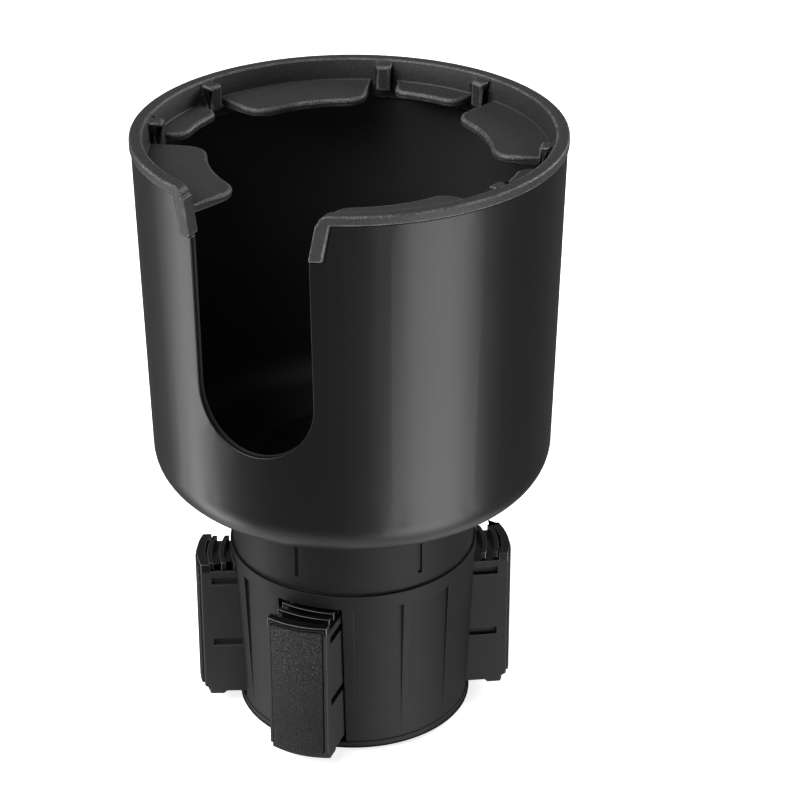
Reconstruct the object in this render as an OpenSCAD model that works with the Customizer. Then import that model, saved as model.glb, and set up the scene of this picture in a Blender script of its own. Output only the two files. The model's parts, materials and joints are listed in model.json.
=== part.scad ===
// Cup holder expander for a car: a wide slotted cup on a narrow base whose
// four toothed legs are driven outward by a scroll when the cup is turned.
// +Z is up and the origin is the middle of the foot. An azimuth is measured
// from -Y towards +X, so 0 faces the viewer and 90 is at the right.

/* [Overall] */
// Full height from the foot to the top of the rubber rim
total_h = 165; // [150:1:185]
// Height of the underside of the cup
cup_base_z = 70.2; // [66:0.1:76]
// Height of the parting line between the neck and the sleeve
parting_z = 49.6; // [49:0.1:54]

/* [Cup] */
// Outside radius of the cup wall just under the rim
cup_top_r = 54.2; // [52.6:0.1:60]
// How much narrower the cup wall is where the bottom corner starts
cup_taper = 2.1; // [1.6:0.1:6]
// Thickness of the cup wall and floor
cup_wall = 2.3; // [1.9:0.1:3]
// Radius of the rounded bottom corner, outside
cup_corner_r = 10.5; // [6:0.5:14]
// Radius of the rubber pad on the cup's floor
floor_pad_r = 24.5; // [23.5:0.1:30]
// Thickness of the rubber pad on the cup's floor
floor_pad_t = 2.2; // [2:0.1:3]
// Depth of the pad's seat in the floor
floor_seat_d = 0.6; // [0.3:0.1:0.8]

/* [Handle slot] */
// Azimuth of the middle of the handle slot
slot_az = -26.3; // [-40:0.1:-20]
// Half of the width of the handle slot
slot_half_w = 15.8; // [12:0.1:18]
// Height of the lowest point of the handle slot
slot_low_z = 98.2; // [90:0.1:115]
// How much each side of the slot leans outward at the rim
slot_flare = 2.2; // [0.5:0.1:4]

/* [Rubber rim] */
// How far the rubber stands out beyond the wall under it
rim_step = 0.4; // [0.1:0.1:1]
// Thickness of the rubber over the top of the wall
rim_cap = 1.8; // [1.2:0.1:3]
// Thickness of the rubber skirts on both faces of the wall
rim_skin = 1.2; // [0.9:0.1:1.4]
// Height of the outer skirt, below the top of the rim
rim_outer_h = 2.5; // [2:0.1:6]
// Height of the inner skirt, below the top of the rim
rim_inner_h = 10.6; // [9:0.1:14]
// Height of the rubber along both sides of the slot
rim_return_h = 11.8; // [8:0.1:16]
// Thickness of the rubber on the slot side
rim_slot_skin = 1.6; // [1:0.1:2.5]
// Width of rubber that covers the wall beside the slot
rim_lap = 1.6; // [1:0.1:3]
// Radius of the rounded corners where the rim meets the slot
rim_corner = 2.4; // [1.5:0.1:3.5]
// How far the rim's inside leans outward at its top edge
rim_lean = 1; // [0.4:0.1:1.2]
// Height over which the rim's inside leans outward
rim_lean_h = 3; // [2:0.1:4]

/* [Holding flaps] */
// How far the wide flaps reach in from the skirt
wide_flap_l = 15; // [10:0.1:18]
// How far the narrow flaps reach in from the skirt
narrow_flap_l = 7.3; // [6:0.1:10]
// Angle that one wide flap takes up
wide_flap_deg = 48.5; // [44:0.1:52]
// Angle of the gap between neighbouring flaps
flap_gap_deg = 8.6; // [7:0.1:10]
// Depth of the flaps' top face below the rim
flap_drop = 5.6; // [4.5:0.1:6]
// Thickness of a flap
flap_t = 2.2; // [1.2:0.1:2.6]
// Radius of the rounded corners of a wide flap
flap_corner = 6; // [2:0.1:7]
// Width of the loops between the flaps
loop_w = 4; // [3:0.1:5]
// How far a loop stands in from the skirt
loop_reach = 2.9; // [2.4:0.1:4]
// Thickness of a loop
loop_t = 1.2; // [0.8:0.1:1.4]

/* [Neck] */
// How far the neck stands in from the sleeve's top edge
neck_set = 0.8; // [0:0.1:0.9]
// Thickness of the neck's wall and top web
neck_wall = 2.4; // [1.8:0.1:2.4]
// Azimuths of the two index notches on the neck
notch_az = [-26, 33.4];
// Width of an index notch
notch_w = 1.2; // [0.6:0.1:2]
// Depth of an index notch
notch_d = 0.7; // [0.4:0.1:1]

/* [Sleeve] */
// Outside radius of the sleeve at its top edge
sleeve_top_r = 33; // [32:0.1:33.4]
// How much narrower the sleeve is at its lower edge
sleeve_taper = 2.1; // [1.8:0.1:2.4]
// Thickness of the sleeve's wall at its lower edge
sleeve_wall = 2; // [1.8:0.1:2.3]
// Depth of the recessed panels at their top edge
panel_d = 1.2; // [0.6:0.1:1.4]
// First and last azimuth of each recessed panel
panels = [[1, 24.3], [28.4, 50.6], [130, 152], [216, 240], [299, 321]];
// Running clearance on each side of a leg in its window
leg_gap = 0.6; // [0.5:0.1:0.8]
// Thickness of the guide walls beside a leg
guide_t = 1.7; // [1.2:0.1:1.8]

/* [Foot] */
// How far the bottom plate stands out beyond the sleeve
plate_lap = 0.3; // [0.1:0.1:2]
// Thickness of the bottom plate
plate_t = 2.4; // [2.2:0.1:2.8]
// How far the rubber foot pad stands out under the plate
foot_proud = 0.6; // [0.3:0.1:0.7]
// Distance from the foot's screws in to the edge of the rubber pad
foot_pad_set = 4.1; // [3.8:0.1:8]
// Thickness of the rubber foot pad
foot_pad_t = 1.2; // [1:0.1:1.4]

/* [Legs] */
// Azimuths of the legs, with a wider gap between the front one and the right one
leg_az = [-20, 97, 184, 272];
// Width of a leg
leg_w = 16.4; // [14:0.1:16.4]
// Distance from the axis to the outer face of a leg at rest, on its middle line
leg_reach = 42.2; // [42.2:0.1:42.6]
// Radius that a leg's outer face is curved to
face_r = 25; // [22:0.5:33]
// How far the legs go in from rest
travel_in = 9.6; // [6:0.1:9.6]
// How far the legs go out from rest
travel_out = 2; // [0:0.1:2]
// Height of the lowest point of a leg
leg_low_z = 3.9; // [3.5:0.1:4.4]
// Thickness of a leg's outer skin at the top
leg_skin = 2.3; // [1.8:0.1:2.6]
// Radial length of the block behind the outer face
leg_block_l = 19.5; // [18:0.1:19.5]
// Radial length of the narrow toothed arm at the inner end
arm_l = 4.4; // [3:0.1:4.4]
// Width of the narrow toothed arm
arm_w = 9.2; // [8:0.1:9.2]
// Height of the guide grooves on a leg's sides
groove_h = 2.2; // [1.8:0.1:3]
// Depth of the guide grooves
groove_d = 1.2; // [0.9:0.1:1.4]
// Height of the middle of the lower guide groove
groove_low_z = 20.6; // [17:0.1:24]
// Height of the middle of the upper guide groove
groove_high_z = 39.7; // [36:0.1:39.9]
// Distance from the outer face in to the guide grooves
groove_set = 4.1; // [2.9:0.1:4.4]
// Height of the step under the outer face
toe_h = 2.4; // [2:0.1:3.4]
// Depth of the step under the outer face
toe_d = 1.3; // [0.8:0.1:1.8]
// Margin between the grip pad and the edges of the outer face
pad_margin = 1.2; // [1:0.1:3]
// Thickness of the grip pad inside its recess
pad_t = 1; // [0.6:0.1:1]
// How far the grip pad stands out of its recess
pad_proud = 0.4; // [0.1:0.1:0.8]

/* [Scroll] */
// Number of spiral ridges
scroll_starts = 2; // [2]
// Radial distance between neighbouring ridges
scroll_pitch = 3.2; // [3.1:0.1:3.3]
// Thickness of a ridge and of a tooth
ridge_t = 1.2; // [0.8:0.1:1.2]
// Height of a ridge and of a tooth
ridge_h = 2.2; // [1.6:0.1:2.4]
// Vertical clearance between teeth and scroll
mesh_gap = 0.4; // [0.3:0.1:0.6]
// Radius of the outermost tooth's middle on the leg in front
first_tooth_r = 36.7; // [36.5:0.1:36.9]
// Radius of the ridges' middle line where they start
scroll_in_r = 17.8; // [17.4:0.1:18.2]
// Distance from the sleeve's outside in to the ridges' outer ends
scroll_set = 4; // [4:0.1:5]
// Thickness of the scroll plate
scroll_t = 4.3; // [4:0.1:4.6]

/* [Spindle] */
// Radius of the spindle's shoulder in the scroll's bore
spindle_r = 4; // [3.6:0.1:4.4]
// Running clearance around the shoulder
spindle_gap = 0.05; // [0.02:0.01:0.1]
// Outside radius of the middle post
post_r = 8; // [7.6:0.1:8.2]
// Radius of the spindle's shank in the middle post
shank_r = 3; // [2.5:0.1:3.4]
// Width across the flats of the nut under the post
nut_w = 10; // [9:0.1:11]
// Height of the nut
nut_h = 5; // [4:0.1:6]
// Outside radius of the washers
washer_r = 7.4; // [6.5:0.1:7.5]
// Thickness of the washers
washer_t = 1; // [0.8:0.1:1.2]

/* [Screws] */
// Radius of a screw's shank
screw_r = 1.4; // [1.2:0.1:1.6]
// Radius of a screw's head
screw_head_r = 2.6; // [2.4:0.1:2.8]
// Height of a screw's head
screw_head_h = 1.4; // [1.2:0.1:1.5]
// Radius of the circle of screws that hold the cup
cup_screw_pcr = 19; // [18.6:0.1:20]
// Radius of the circle of screws that hold the scroll
scroll_screw_pcr = 12.6; // [12.4:0.1:13]
// Distance from the sleeve's inside to the screws under the foot
foot_screw_set = 3.3; // [3.1:0.1:3.5]
// Length of the screws that hold the cup
cup_screw_l = 8.5; // [7:0.1:8.8]
// Length of the screws that hold the scroll
scroll_screw_l = 10; // [8:0.1:11]
// Length of the screws under the foot
foot_screw_l = 10; // [8:0.1:12]

/* [Hidden] */
$fn = 96;

EPS = 0.01;
FAR = 80;
// Gap that lets one moulding drop over another
FIT = 0.15;
// Gap that lets flat faces turn on each other
RUN = 0.1;

// Heights that the pieces share
plate_z = foot_proud;
sleeve_z = plate_z + plate_t;
sleeve_top_z = parting_z - 0.3;
scroll_z = parting_z - scroll_t;
window_top_z = scroll_z;
tooth_top_z = scroll_z - mesh_gap;
leg_deck_z = tooth_top_z - ridge_h;
ridge_low_z = scroll_z - ridge_h;
floor_top_z = cup_base_z + cup_wall;
floor_seat_z = floor_top_z - floor_seat_d;
post_top_z = scroll_z - washer_t - RUN;
nut_z = plate_z + foot_pad_t - foot_proud;

// Radii that follow the sleeve
sleeve_low_r = sleeve_top_r - sleeve_taper;
sleeve_in_r = sleeve_low_r - sleeve_wall;
neck_r = sleeve_top_r - neck_set;
plate_r = sleeve_low_r + plate_lap;
foot_screw_pcr = sleeve_in_r - foot_screw_set;
foot_pad_r = foot_screw_pcr - foot_pad_set;
scroll_out_r = sleeve_top_r - scroll_set;
boss_h = foot_screw_l + 4;

// Ring that the neck glides on, let into the sleeve's top
glide_out_r = sleeve_top_r - 0.9;
glide_in_r = glide_out_r - 1;
glide_seat_d = 1.2;

// Cup wall as a taper, and its thinner lip inside the rubber
cup_low_r = cup_top_r - cup_taper;
wall_low_z = cup_base_z + cup_corner_r;
lip_z = total_h - rim_outer_h;
lip_top_z = total_h - rim_cap;
corner_mid_r = cup_low_r - cup_corner_r;
rim_r = cup_top_r + rim_step;
lip_out_r = rim_r - rim_skin;
lip_in_r = cup_top_r - cup_wall;
skirt_z = total_h - rim_inner_h;
function wall_r(z) = cup_low_r + (cup_top_r - cup_low_r) * (z - wall_low_z) / (lip_z - wall_low_z);
skirt_out_r = wall_r(skirt_z) - cup_wall - FIT;
skirt_in_r = skirt_out_r - rim_skin;

// Slot at the rim
slot_top_half = slot_half_w + slot_flare;
return_z = total_h - rim_return_h;

// Flaps: four wide and three narrow ones share the ring outside the slot
slot_edge_deg = asin((slot_half_w + rim_slot_skin + rim_lap) / rim_r);
narrow_flap_deg = (360 - 2 * slot_edge_deg - 4 * wide_flap_deg - 6 * flap_gap_deg) / 3;
flap_pair_deg = wide_flap_deg + narrow_flap_deg + 2 * flap_gap_deg;
flap_top_z = total_h - flap_drop;
wide_flap_r = skirt_in_r - wide_flap_l;
narrow_flap_r = skirt_in_r - narrow_flap_l;

// Scroll: how far a ridge climbs in one turn, and its plate
lead = scroll_starts * scroll_pitch;
ridge_out_edge = scroll_out_r + ridge_t / 2;
ridge_in_edge = scroll_in_r - ridge_t / 2;
scroll_r = ridge_out_edge + 0.3;
ridge_turn = 360 * (scroll_out_r - scroll_in_r) / lead;
ridge_steps = ceil(ridge_turn / 6);
spigot_out_r = neck_r - neck_wall - FIT;

// Legs: where things lie along a leg at rest
face_mid = leg_reach - face_r;
block_in = leg_reach - leg_block_l;
arm_in = block_in - arm_l;
tooth_out_r = leg_reach - leg_skin - 0.4;
tooth_in_r = arm_in + 0.2;
tooth_half_w = leg_w / 2 - 0.9;
groove_out = leg_reach - groove_set;
foot_in = leg_reach - 6.4;
leg_inner_z = leg_low_z + 0.8;
tongue_out = groove_out - travel_in - 0.3;

// Guide walls beside each leg, short enough for the neighbour's
leg_spacing = [for (i = [0 : 3]) (i < 3 ? leg_az[i + 1] : leg_az[0] + 360) - leg_az[i]];
guide_face = leg_w / 2 + leg_gap;
guide_in = (guide_face + guide_t) / tan(min(leg_spacing) / 2) + 0.6;
guide_h = leg_deck_z - 0.2 - sleeve_z;

// Peg that stops each leg at both ends of its travel
stop_l = 3;
stop_w = 2.2;
stop_h = 3.4;
stop_r = sleeve_low_r - 3.9;

// Stands its children along the radius at an azimuth: +X points outward
module at_azimuth(a) rotate([0, 0, a - 90]) children();

// Four copies of its children on a circle
module on_circle(pcr, first) for (i = [0 : 3]) at_azimuth(first + 90 * i) translate([pcr, 0, 0]) children();

// A ring with square edges
module ring(r_out, r_in, h) difference() {
    cylinder(r = r_out, h = h);
    translate([0, 0, -EPS]) cylinder(r = r_in, h = h + 2 * EPS);
}

// A flat sector between two azimuths, to cut round pieces with
module sector(a0, a1, r) {
    steps = ceil((a1 - a0) / 30);
    polygon(concat([[0, 0]],
        [for (i = [0 : steps]) let (a = a0 + (a1 - a0) * i / steps - 90) r * [cos(a), sin(a)]]));
}

// A pan head screw that points down, its head standing on z = 0
module pan_screw(l) {
    difference() {
        union() {
            cylinder(r = screw_head_r, h = screw_head_h * 0.6);
            translate([0, 0, screw_head_h * 0.6])
                cylinder(r1 = screw_head_r, r2 = screw_head_r * 0.7, h = screw_head_h * 0.4);
            translate([0, 0, -l]) cylinder(r = screw_r, h = l + EPS);
        }
        for (a = [0, 90]) rotate(a) translate([-screw_head_r * 0.6, -0.35, screw_head_h * 0.45])
            cube([screw_head_r * 1.2, 0.7, screw_head_h]);
    }
}

// Side view of the flared part of the slot, widened by a margin on both sides
module flare_outline(extra) {
    low = slot_half_w + extra;
    high = slot_top_half + extra;
    polygon([[-low, return_z], [low, return_z], [high, total_h], [high, total_h + 5],
        [-high, total_h + 5], [-high, total_h]]);
}

// Side view of the straight part of the slot with its round lower end
module slot_outline() {
    translate([0, slot_low_z + slot_half_w]) circle(r = slot_half_w);
    translate([-slot_half_w, slot_low_z + slot_half_w])
        square([2 * slot_half_w, return_z - slot_low_z - slot_half_w + EPS]);
}

// Pushes a side view outward through the wall at the slot
module through_slot() at_azimuth(slot_az) rotate([90, 0, 90]) linear_extrude(height = FAR) children();

// Cup body

module cup_outside() {
    polygon([[0, cup_base_z], [corner_mid_r, cup_base_z], [corner_mid_r, wall_low_z], [cup_low_r, wall_low_z],
        [cup_top_r, lip_z], [lip_out_r - FIT, lip_z], [lip_out_r - FIT, lip_top_z - FIT],
        [0, lip_top_z - FIT]]);
    translate([corner_mid_r, wall_low_z]) circle(r = cup_corner_r);
}

module cup_inside() {
    polygon([[0, floor_top_z], [corner_mid_r, floor_top_z], [corner_mid_r, wall_low_z],
        [cup_low_r - cup_wall, wall_low_z], [lip_in_r, lip_z], [lip_in_r, total_h], [0, total_h]]);
    translate([corner_mid_r, wall_low_z]) circle(r = cup_corner_r - cup_wall);
}

module cup_shell() color([0.07, 0.07, 0.075]) difference() {
    rotate_extrude() cup_outside();
    rotate_extrude() cup_inside();
    through_slot() slot_outline();
    // the wall's edges stand back where the rubber folds round them
    through_slot() translate([0, -FIT]) flare_outline(rim_slot_skin + FIT);
    intersection() {
        translate([0, 0, return_z - 2]) ring(rim_r + 1, lip_out_r - FIT - 0.1, rim_return_h + 4);
        through_slot() translate([0, -FIT]) flare_outline(rim_slot_skin + rim_lap + FIT);
    }
    translate([0, 0, floor_seat_z]) cylinder(r = floor_pad_r + FIT, h = cup_wall);
    on_circle(cup_screw_pcr, 45) translate([0, 0, cup_base_z - 1]) cylinder(r = screw_r + 0.2, h = cup_wall + 1);
}

// Outline of a flap as seen from above, its middle along +X
function flap_arc(r, a0, a1, n) = [for (i = [0 : n]) let (a = a0 + (a1 - a0) * i / n) r * [cos(a), sin(a)]];
function flap_outline(span, r_in) = let (
        c = min(flap_corner, 0.55 * (skirt_in_r - r_in)),
        mid = r_in + c,
        turn = asin(c / mid),
        half = span / 2,
        corner = [for (i = [0 : 6]) let (t = -90 + (turn - 90) * i / 6)
            [mid * cos(turn) + c * cos(t), mid * sin(turn) + c * sin(t)]])
    concat(flap_arc(skirt_in_r + rim_skin / 2, half, -half, 12),
        [for (p = corner) [p[0] * cos(half) + p[1] * sin(half), p[1] * cos(half) - p[0] * sin(half)]],
        flap_arc(r_in, turn - half, half - turn, 12),
        [for (i = [6 : -1 : 0]) let (p = corner[i])
            [p[0] * cos(half) + p[1] * sin(half), p[0] * sin(half) - p[1] * cos(half)]]);

module flap(middle, span, r_in) at_azimuth(middle)
    translate([0, 0, flap_top_z - flap_t]) linear_extrude(height = flap_t) polygon(flap_outline(span, r_in));

// A loop between two flaps: it leaves the rim, stands off the skirt and comes back
module rim_loop(middle) at_azimuth(middle) translate([skirt_in_r, loop_w / 2, 0]) rotate([90, 0, 0])
    linear_extrude(height = loop_w) difference() {
        translate([-loop_reach, flap_top_z - flap_t]) square([loop_reach + rim_skin - 0.1, flap_drop + flap_t - 0.8]);
        translate([loop_t - loop_reach, flap_top_z - flap_t + loop_t])
            square([loop_reach - loop_t, flap_drop + flap_t - 0.8 - 2 * loop_t]);
    }

// Rounded corner where the top of the rim turns down into the slot, as the waste to cut away
module rim_corner_waste() for (side = [-1, 1]) translate([side * (slot_top_half + rim_corner), total_h - rim_corner])
    difference() {
        translate([side > 0 ? -rim_corner - 2 : 0, 0]) square([rim_corner + 2, rim_corner + 2]);
        circle(r = rim_corner);
    }

module rim_ring() color([0.2, 0.2, 0.205]) {
    difference() {
        union() {
            translate([0, 0, lip_z]) ring(rim_r, skirt_in_r, rim_outer_h);
            translate([0, 0, skirt_z]) ring(skirt_out_r, skirt_in_r, rim_inner_h - 1);
            intersection() {
                translate([0, 0, return_z - 1]) ring(rim_r, skirt_in_r, rim_return_h + 1);
                through_slot() flare_outline(rim_slot_skin + rim_lap);
            }
        }
        through_slot() flare_outline(0);
        through_slot() rim_corner_waste();
        translate([0, 0, total_h - rim_lean_h])
            cylinder(r1 = skirt_in_r, r2 = skirt_in_r + rim_lean * (1 + 1 / rim_lean_h), h = rim_lean_h + 1);
        // channel for the lip of the wall
        difference() {
            translate([0, 0, return_z - 1]) ring(lip_out_r, skirt_out_r, lip_top_z - return_z + 1);
            through_slot() flare_outline(rim_slot_skin);
        }
    }
    for (i = [0 : 3]) {
        start = slot_az - slot_edge_deg - i * flap_pair_deg;
        flap(start - wide_flap_deg / 2, wide_flap_deg, wide_flap_r);
        if (i < 3) {
            rim_loop(start - wide_flap_deg - flap_gap_deg / 2);
            flap(start - wide_flap_deg - flap_gap_deg - narrow_flap_deg / 2, narrow_flap_deg, narrow_flap_r);
            rim_loop(start - flap_pair_deg + flap_gap_deg / 2);
        }
    }
}

module floor_pad() color([0.12, 0.12, 0.125]) difference() {
    edge = 0.8;
    translate([0, 0, floor_seat_z]) rotate_extrude() {
        square([floor_pad_r - edge, floor_pad_t]);
        square([floor_pad_r, floor_pad_t - edge]);
        intersection() {
            translate([floor_pad_r - edge, floor_pad_t - edge]) circle(r = edge);
            square([floor_pad_r, floor_pad_t]);
        }
    }
    on_circle(cup_screw_pcr, 45) translate([0, 0, floor_seat_z - EPS])
        cylinder(r = screw_head_r + 0.3, h = screw_head_h + 0.2);
}

module cup_screws() color("silver") on_circle(cup_screw_pcr, 45) translate([0, 0, floor_seat_z]) pan_screw(cup_screw_l);

// Neck and drive

module neck() color([0.16, 0.16, 0.165]) {
    h = cup_base_z - parting_z;
    pillar_r = 3.2;
    notch_h = h * 0.83;
    difference() {
        translate([0, 0, parting_z]) union() {
            difference() {
                cylinder(r = neck_r, h = h);
                translate([0, 0, -EPS]) cylinder(r = neck_r - neck_wall, h = h - neck_wall);
            }
            on_circle(scroll_screw_pcr, 0) cylinder(r = pillar_r, h = h - neck_wall + EPS);
            on_circle(cup_screw_pcr, 45) translate([0, 0, h - neck_wall - 8]) cylinder(r = pillar_r, h = 8 + EPS);
        }
        // opening over the spindle's head, and pilot holes for the screws
        translate([0, 0, cup_base_z - neck_wall - 1]) cylinder(r = washer_r + 1, h = neck_wall + 2);
        on_circle(scroll_screw_pcr, 0) translate([0, 0, parting_z - 1]) cylinder(r = screw_r, h = scroll_screw_l);
        on_circle(cup_screw_pcr, 45) translate([0, 0, cup_base_z - cup_screw_l]) cylinder(r = screw_r, h = FAR);
        for (a = notch_az) at_azimuth(a)
            translate([neck_r - notch_d, -notch_w / 2, cup_base_z - notch_h]) cube([2, notch_w, notch_h + 1]);
    }
}

// Middle line of one ridge: its radius grows evenly as it winds round
function ridge_point(i, side) = let (
        t = i / ridge_steps,
        a = ridge_turn * t - 90,
        r = scroll_in_r + (scroll_out_r - scroll_in_r) * t + side * ridge_t / 2)
    r * [cos(a), sin(a)];
// Azimuth at which the ridges start, so that the front leg's teeth are in mesh
ridge_start_az = leg_az[0] + 360 * (scroll_in_r - first_tooth_r + scroll_pitch / 2) / lead;

module ridge_outline() polygon(concat(
    [for (i = [0 : ridge_steps]) ridge_point(i, 1)],
    [for (i = [ridge_steps : -1 : 0]) ridge_point(i, -1)]));

module scroll_plate() color([0.2, 0.2, 0.21]) difference() {
    union() {
        translate([0, 0, scroll_z]) cylinder(r = scroll_r, h = parting_z - scroll_z);
        // spigot that centres the neck
        translate([0, 0, parting_z - EPS]) ring(spigot_out_r, spigot_out_r - 1.8, 2);
        for (k = [0 : scroll_starts - 1]) rotate(ridge_start_az + 360 * k / scroll_starts)
            translate([0, 0, ridge_low_z]) linear_extrude(height = ridge_h + EPS) ridge_outline();
    }
    translate([0, 0, scroll_z - 1]) cylinder(r = spindle_r + spindle_gap, h = scroll_t + 2);
    on_circle(scroll_screw_pcr, 0) {
        translate([0, 0, scroll_z - 1]) cylinder(r = screw_r + 0.2, h = scroll_t + 2);
        translate([0, 0, scroll_z - 1]) cylinder(r = screw_head_r + 0.3, h = 1 + screw_head_h + 0.5);
    }
    // shallow ring recess that saves material over the ridges
    translate([0, 0, parting_z - 1.2]) ring(spigot_out_r - 3, scroll_screw_pcr + 4.4, 2);
}

module scroll_screws() color("silver") on_circle(scroll_screw_pcr, 0)
    translate([0, 0, scroll_z + screw_head_h + 0.5]) mirror([0, 0, 1]) pan_screw(scroll_screw_l);

// Base

// Flat sides of the sleeve's windows, one per leg
module leg_windows(h) for (a = leg_az) at_azimuth(a)
    translate([guide_in, -guide_face, 0]) cube([FAR, 2 * guide_face, h]);

// A pair of walls with tongues that one leg slides between
module leg_guide() {
    tongue_l = tongue_out - guide_in - 0.6;
    for (side = [0, 1]) mirror([0, side, 0]) {
        translate([guide_in, guide_face, 0]) cube([sleeve_in_r - guide_in, guide_t, guide_h]);
        for (z = [groove_low_z, groove_high_z])
            translate([guide_in + 0.6, guide_face - groove_d - leg_gap + 0.3, z - groove_h / 2 + 0.3 - sleeve_z])
                cube([tongue_l, groove_d + leg_gap - 0.3 + EPS, groove_h - 0.6]);
    }
}

module foot_bosses() for (a = foot_screw_az) at_azimuth(a) {
    translate([foot_screw_pcr, 0, 0]) cylinder(r = 2.9, h = boss_h);
    translate([foot_screw_pcr, -1, 0]) cube([sleeve_low_r - 1 - foot_screw_pcr, 2, boss_h]);
}
foot_screw_az = [for (i = [0 : 3]) leg_az[i] + leg_spacing[i] / 2];

module sleeve() color([0.17, 0.17, 0.175]) difference() {
    h = sleeve_top_z - sleeve_z;
    // the scroll's ridges hang down to just above the legs' deck
    step_h = leg_deck_z - sleeve_z;
    translate([0, 0, sleeve_z]) {
        difference() {
            cylinder(r1 = sleeve_low_r, r2 = sleeve_top_r, h = h);
            translate([0, 0, -EPS]) cylinder(r = sleeve_in_r, h = h);
            translate([0, 0, step_h]) cylinder(r = scroll_r + 0.4, h = h);
            leg_windows(window_top_z - sleeve_z);
            sleeve_panels(window_top_z - sleeve_z);
        }
        intersection() {
            union() {
                for (a = leg_az) at_azimuth(a) leg_guide();
                foot_bosses();
            }
            cylinder(r = sleeve_in_r + 0.6, h = h);
        }
    }
    // groove for the glide ring, and pilot holes for the foot's screws
    translate([0, 0, sleeve_top_z - glide_seat_d]) ring(glide_out_r + RUN, glide_in_r - RUN, 2);
    for (a = foot_screw_az) at_azimuth(a)
        translate([foot_screw_pcr, 0, sleeve_z - 1]) cylinder(r = screw_r, h = foot_screw_l + 2);
}

// Recessed panels: deepest at their top edge, level with the surface at the foot
module sleeve_panels(top) for (p = panels) difference() {
    translate([0, 0, -EPS]) linear_extrude(height = top + EPS) sector(p[0], p[1], FAR);
    translate([0, 0, -1])
        cylinder(r1 = sleeve_low_r, r2 = sleeve_low_r + (sleeve_top_r - sleeve_low_r) - panel_d, h = top + 2);
}

module glide_ring() color([0.1, 0.1, 0.1]) translate([0, 0, sleeve_top_z - glide_seat_d])
    ring(glide_out_r, glide_in_r, glide_seat_d + parting_z - sleeve_top_z - RUN);

module bottom_plate() color([0.17, 0.17, 0.175]) difference() {
    edge = 0.8;
    union() {
        translate([0, 0, plate_z]) {
            cylinder(r1 = plate_r - edge, r2 = plate_r, h = edge);
            translate([0, 0, edge - EPS]) cylinder(r = plate_r, h = plate_t - edge + EPS);
        }
        translate([0, 0, plate_z]) cylinder(r = post_r, h = post_top_z - plate_z);
        // pegs that stop the legs
        for (a = leg_az) at_azimuth(a) translate([stop_r - stop_l / 2, -stop_w / 2, sleeve_z - EPS])
            cube([stop_l, stop_w, stop_h + EPS]);
    }
    translate([0, 0, plate_z - 1]) cylinder(r = foot_pad_r + FIT, h = 1 + foot_pad_t - foot_proud);
    translate([0, 0, nut_z - EPS]) cylinder(r = (nut_w / 2 + RUN) / cos(30), h = nut_h + 0.2, $fn = 6);
    translate([0, 0, nut_z]) cylinder(r = shank_r + RUN, h = post_top_z);
    for (a = foot_screw_az) at_azimuth(a) translate([foot_screw_pcr, 0, plate_z - 1]) {
        cylinder(r = screw_r + 0.2, h = plate_t + 2);
        cylinder(r = screw_head_r + 0.3, h = 1 + screw_head_h + 0.1);
    }
}

module foot_screws() color("silver") for (a = foot_screw_az) at_azimuth(a)
    translate([foot_screw_pcr, 0, plate_z + screw_head_h + 0.1]) mirror([0, 0, 1]) pan_screw(foot_screw_l);

module foot_pad() color([0.1, 0.1, 0.1]) difference() {
    cylinder(r = foot_pad_r, h = foot_pad_t);
    // grip grooves across the underside
    for (k = [1 : 3]) translate([0, 0, -EPS]) ring(foot_pad_r * k / 4 + 0.6, foot_pad_r * k / 4 - 0.6, 0.4);
}

module spindle() color("silver") difference() {
    head_z = parting_z + RUN + washer_t;
    union() {
        translate([0, 0, nut_z + 1]) cylinder(r = shank_r, h = post_top_z - nut_z);
        translate([0, 0, post_top_z]) cylinder(r = spindle_r, h = head_z - post_top_z + EPS);
        translate([0, 0, head_z]) cylinder(r = spindle_r * 1.6, h = 2.6);
        translate([0, 0, head_z + 2.6]) cylinder(r1 = spindle_r * 1.6, r2 = spindle_r * 1.6 - 0.8, h = 0.8);
    }
    // hexagon socket
    translate([0, 0, head_z + 1]) cylinder(r = 2.9, h = 5, $fn = 6);
}

module spindle_washer() color("silver") translate([0, 0, parting_z + RUN])
    ring(washer_r, spindle_r + RUN, washer_t);

module thrust_washer() color("ivory") translate([0, 0, post_top_z])
    ring(washer_r, spindle_r + RUN, washer_t);

module spindle_nut() color("silver") translate([0, 0, nut_z]) difference() {
    cylinder(r = nut_w / 2 / cos(30), h = nut_h, $fn = 6);
    translate([0, 0, -1]) cylinder(r = shank_r, h = nut_h + 2);
}

// Legs

// Plan of a leg without its arm
module leg_plan() intersection() {
    translate([block_in, -leg_w / 2]) square([leg_block_l + 1, leg_w]);
    translate([face_mid, 0]) circle(r = face_r, $fn = 180);
}

// Side view of a leg: its inner edge and its foot
module leg_side() {
    front = leg_reach + 1;
    polygon([[block_in - 1, leg_inner_z], [foot_in - 0.8, leg_inner_z], [foot_in, leg_low_z],
        [front, leg_low_z], [front, tooth_top_z], [block_in - 1, tooth_top_z]]);
}

// Step under the outer face, as the waste to cut away
module toe_waste() translate([face_mid, 0, leg_low_z]) {
    translate([0, 0, -1]) ring(face_r + 2, face_r - toe_d, 1 + toe_h - 0.7);
    translate([0, 0, toe_h - 0.7 - EPS]) difference() {
        cylinder(r = face_r + 2, h = 0.7 + EPS);
        translate([0, 0, -EPS]) cylinder(r1 = face_r - toe_d - EPS, r2 = face_r + 0.05, h = 0.7 + 3 * EPS);
    }
}

// Radii of the teeth's middle lines on the leg at an azimuth, in mesh with the ridges
function tooth_shift(a) = lead * ((a - leg_az[0]) % 180) / 360;
function tooth_radii(a) = [for (k = [-3 : 8]) let (r = first_tooth_r + tooth_shift(a) - k * scroll_pitch)
    if (r + ridge_t / 2 < tooth_out_r && r - ridge_t / 2 > tooth_in_r) r];
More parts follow.
